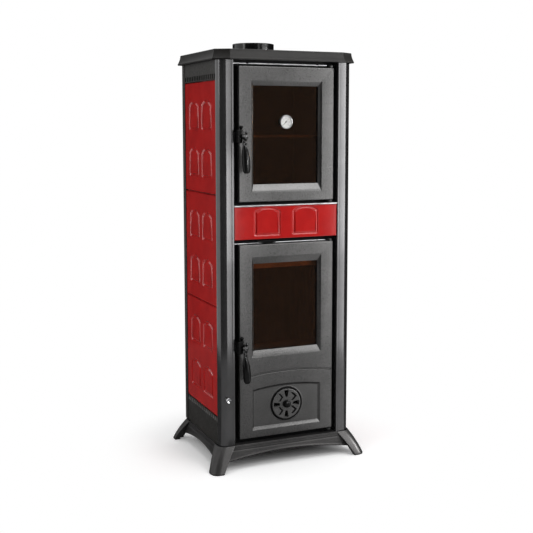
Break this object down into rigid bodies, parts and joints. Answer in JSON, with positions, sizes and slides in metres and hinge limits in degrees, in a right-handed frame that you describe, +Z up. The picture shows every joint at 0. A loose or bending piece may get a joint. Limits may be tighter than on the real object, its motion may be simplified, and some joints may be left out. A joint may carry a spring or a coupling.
{
  "type": "wood-burning cooking stove with oven",
  "caption": "Tall wood-fired cooking stove: tiled cast-iron body on splayed feet, glazed fire door with air register, oven door with dial, top flue socket.",
  "frame": {"origin": "on the floor under the middle of the footprint", "axes": "+X to the viewer's right facing the doors, +Y to the rear, +Z up"},
  "size_m": [0.55, 0.442, 1.36],
  "materials": {
    "cast_iron_base": "satin black stove paint on fine sand casting",
    "cast_iron_column": "semi-gloss anthracite enamel",
    "cast_iron_top": "satin anthracite stove paint",
    "cast_iron_door": "satin anthracite stove paint",
    "flue_enamel": "black enamel",
    "red_glaze": "glossy bordeaux glaze",
    "sheet_steel": "matt black stove paint",
    "frame_steel": "matt black stove paint",
    "inner_steel": "dark heat-proof paint",
    "bright_trim": "satin steel strip",
    "oven_steel": "heat-tinted stainless",
    "ceramic_glass": "clear ceramic glass, slightly smoked",
    "rope_seal": "woven glass-fibre rope",
    "hinge_steel": "blackened steel",
    "handle_black": "glossy black",
    "handle_metal": "black enamelled casting",
    "chrome": "polished chrome",
    "dial_white": "white enamelled dial",
    "dial_glass": "clear glass",
    "needle_black": "matt black",
    "firebrick": "refractory, smoke-stained",
    "grate_iron": "raw cast iron",
    "oven_stone": "unglazed refractory",
    "zinc_steel": "zinc-plated"
  },
  "bodies": {
    "stove": {"base_frame": "cast_iron_base", "column_left": "cast_iron_column", "column_right": "cast_iron_column", "side_sheet_left": "sheet_steel", "side_sheet_right": "sheet_steel", "back_panel": "sheet_steel", "top_plate": "cast_iron_top", "flue_spigot": "flue_enamel", "front_plate": "frame_steel", "inner_body": "inner_steel", "ash_floor": "inner_steel", "oven_box": "oven_steel", "oven_rack": "zinc_steel", "oven_stone": "oven_stone", "lining_back": "firebrick", "lining_left": "firebrick", "lining_right": "firebrick", "baffle_plate": "firebrick", "grate_frame": "grate_iron", "log_guard": "grate_iron", "ash_pan": "zinc_steel", "air_wash_deflector": "bright_trim", "side_tile_left_top": "red_glaze", "side_tile_left_middle": "red_glaze", "side_tile_left_bottom": "red_glaze", "side_tile_right_top": "red_glaze", "side_tile_right_middle": "red_glaze", "side_tile_right_bottom": "red_glaze", "front_tile": "red_glaze", "front_tile_carrier": "bright_trim", "vent_strips": "bright_trim", "hinge_brackets": "hinge_steel", "latch_strikers": "hinge_steel", "body_screws": "zinc_steel"},
    "air_control": {"air_lever": "cast_iron_door", "air_slide": "sheet_steel"},
    "oven_door": {"oven_door_frame": "cast_iron_door", "oven_door_glass": "ceramic_glass", "oven_glass_retainers": "zinc_steel", "oven_door_seal": "rope_seal", "oven_hinge_pins": "hinge_steel", "thermometer_case": "chrome", "thermometer_dial": "dial_white", "thermometer_lens": "dial_glass"},
    "dial_needle": {"thermometer_needle": "needle_black"},
    "oven_handle": {"oven_handle_lever": "handle_metal", "oven_handle_grip": "handle_black", "oven_latch_cam": "hinge_steel"},
    "fire_door": {"fire_door_frame": "cast_iron_door", "fire_door_glass": "ceramic_glass", "fire_glass_retainers": "zinc_steel", "fire_door_seal": "rope_seal", "fire_hinge_pins": "hinge_steel"},
    "register": {"register_disc": "cast_iron_door"},
    "fire_handle": {"fire_handle_lever": "handle_metal", "fire_handle_grip": "handle_black", "fire_latch_cam": "hinge_steel"},
    "riddle": {"riddle_rod": "hinge_steel", "riddle_grate": "grate_iron", "riddle_knob": "chrome"}
  },
  "joints": [
    {"name": "oven_door_swing", "type": "hinge", "parent": "stove", "child": "oven_door", "pos_m": [0.154, -0.166, 1.061], "axis": [0, 0, 1], "range_deg": [0, 110]},
    {"name": "fire_door_swing", "type": "hinge", "parent": "stove", "child": "fire_door", "pos_m": [0.154, -0.166, 0.406], "axis": [0, 0, 1], "range_deg": [0, 110]},
    {"name": "oven_handle_turn", "type": "hinge", "parent": "oven_door", "child": "oven_handle", "pos_m": [-0.151, -0.175, 1.052], "axis": [0, -1, 0], "range_deg": [0, 90]},
    {"name": "fire_handle_turn", "type": "hinge", "parent": "fire_door", "child": "fire_handle", "pos_m": [-0.151, -0.175, 0.394], "axis": [0, -1, 0], "range_deg": [0, 90]},
    {"name": "register_turn", "type": "hinge", "parent": "fire_door", "child": "register", "pos_m": [0, -0.178, 0.193], "axis": [0, 1, 0], "range_deg": [0, 45]},
    {"name": "needle_turn", "type": "hinge", "parent": "oven_door", "child": "dial_needle", "pos_m": [0, -0.164, 1.1], "axis": [0, 1, 0], "range_deg": [0, 270]},
    {"name": "air_lever_slide", "type": "slide", "parent": "stove", "child": "air_control", "axis": [1, 0, 0], "range_m": [-0.02, 0.02]},
    {"name": "riddle_pull", "type": "slide", "parent": "stove", "child": "riddle", "axis": [0, -1, 0], "range_m": [0, 0.025]}
  ]
}
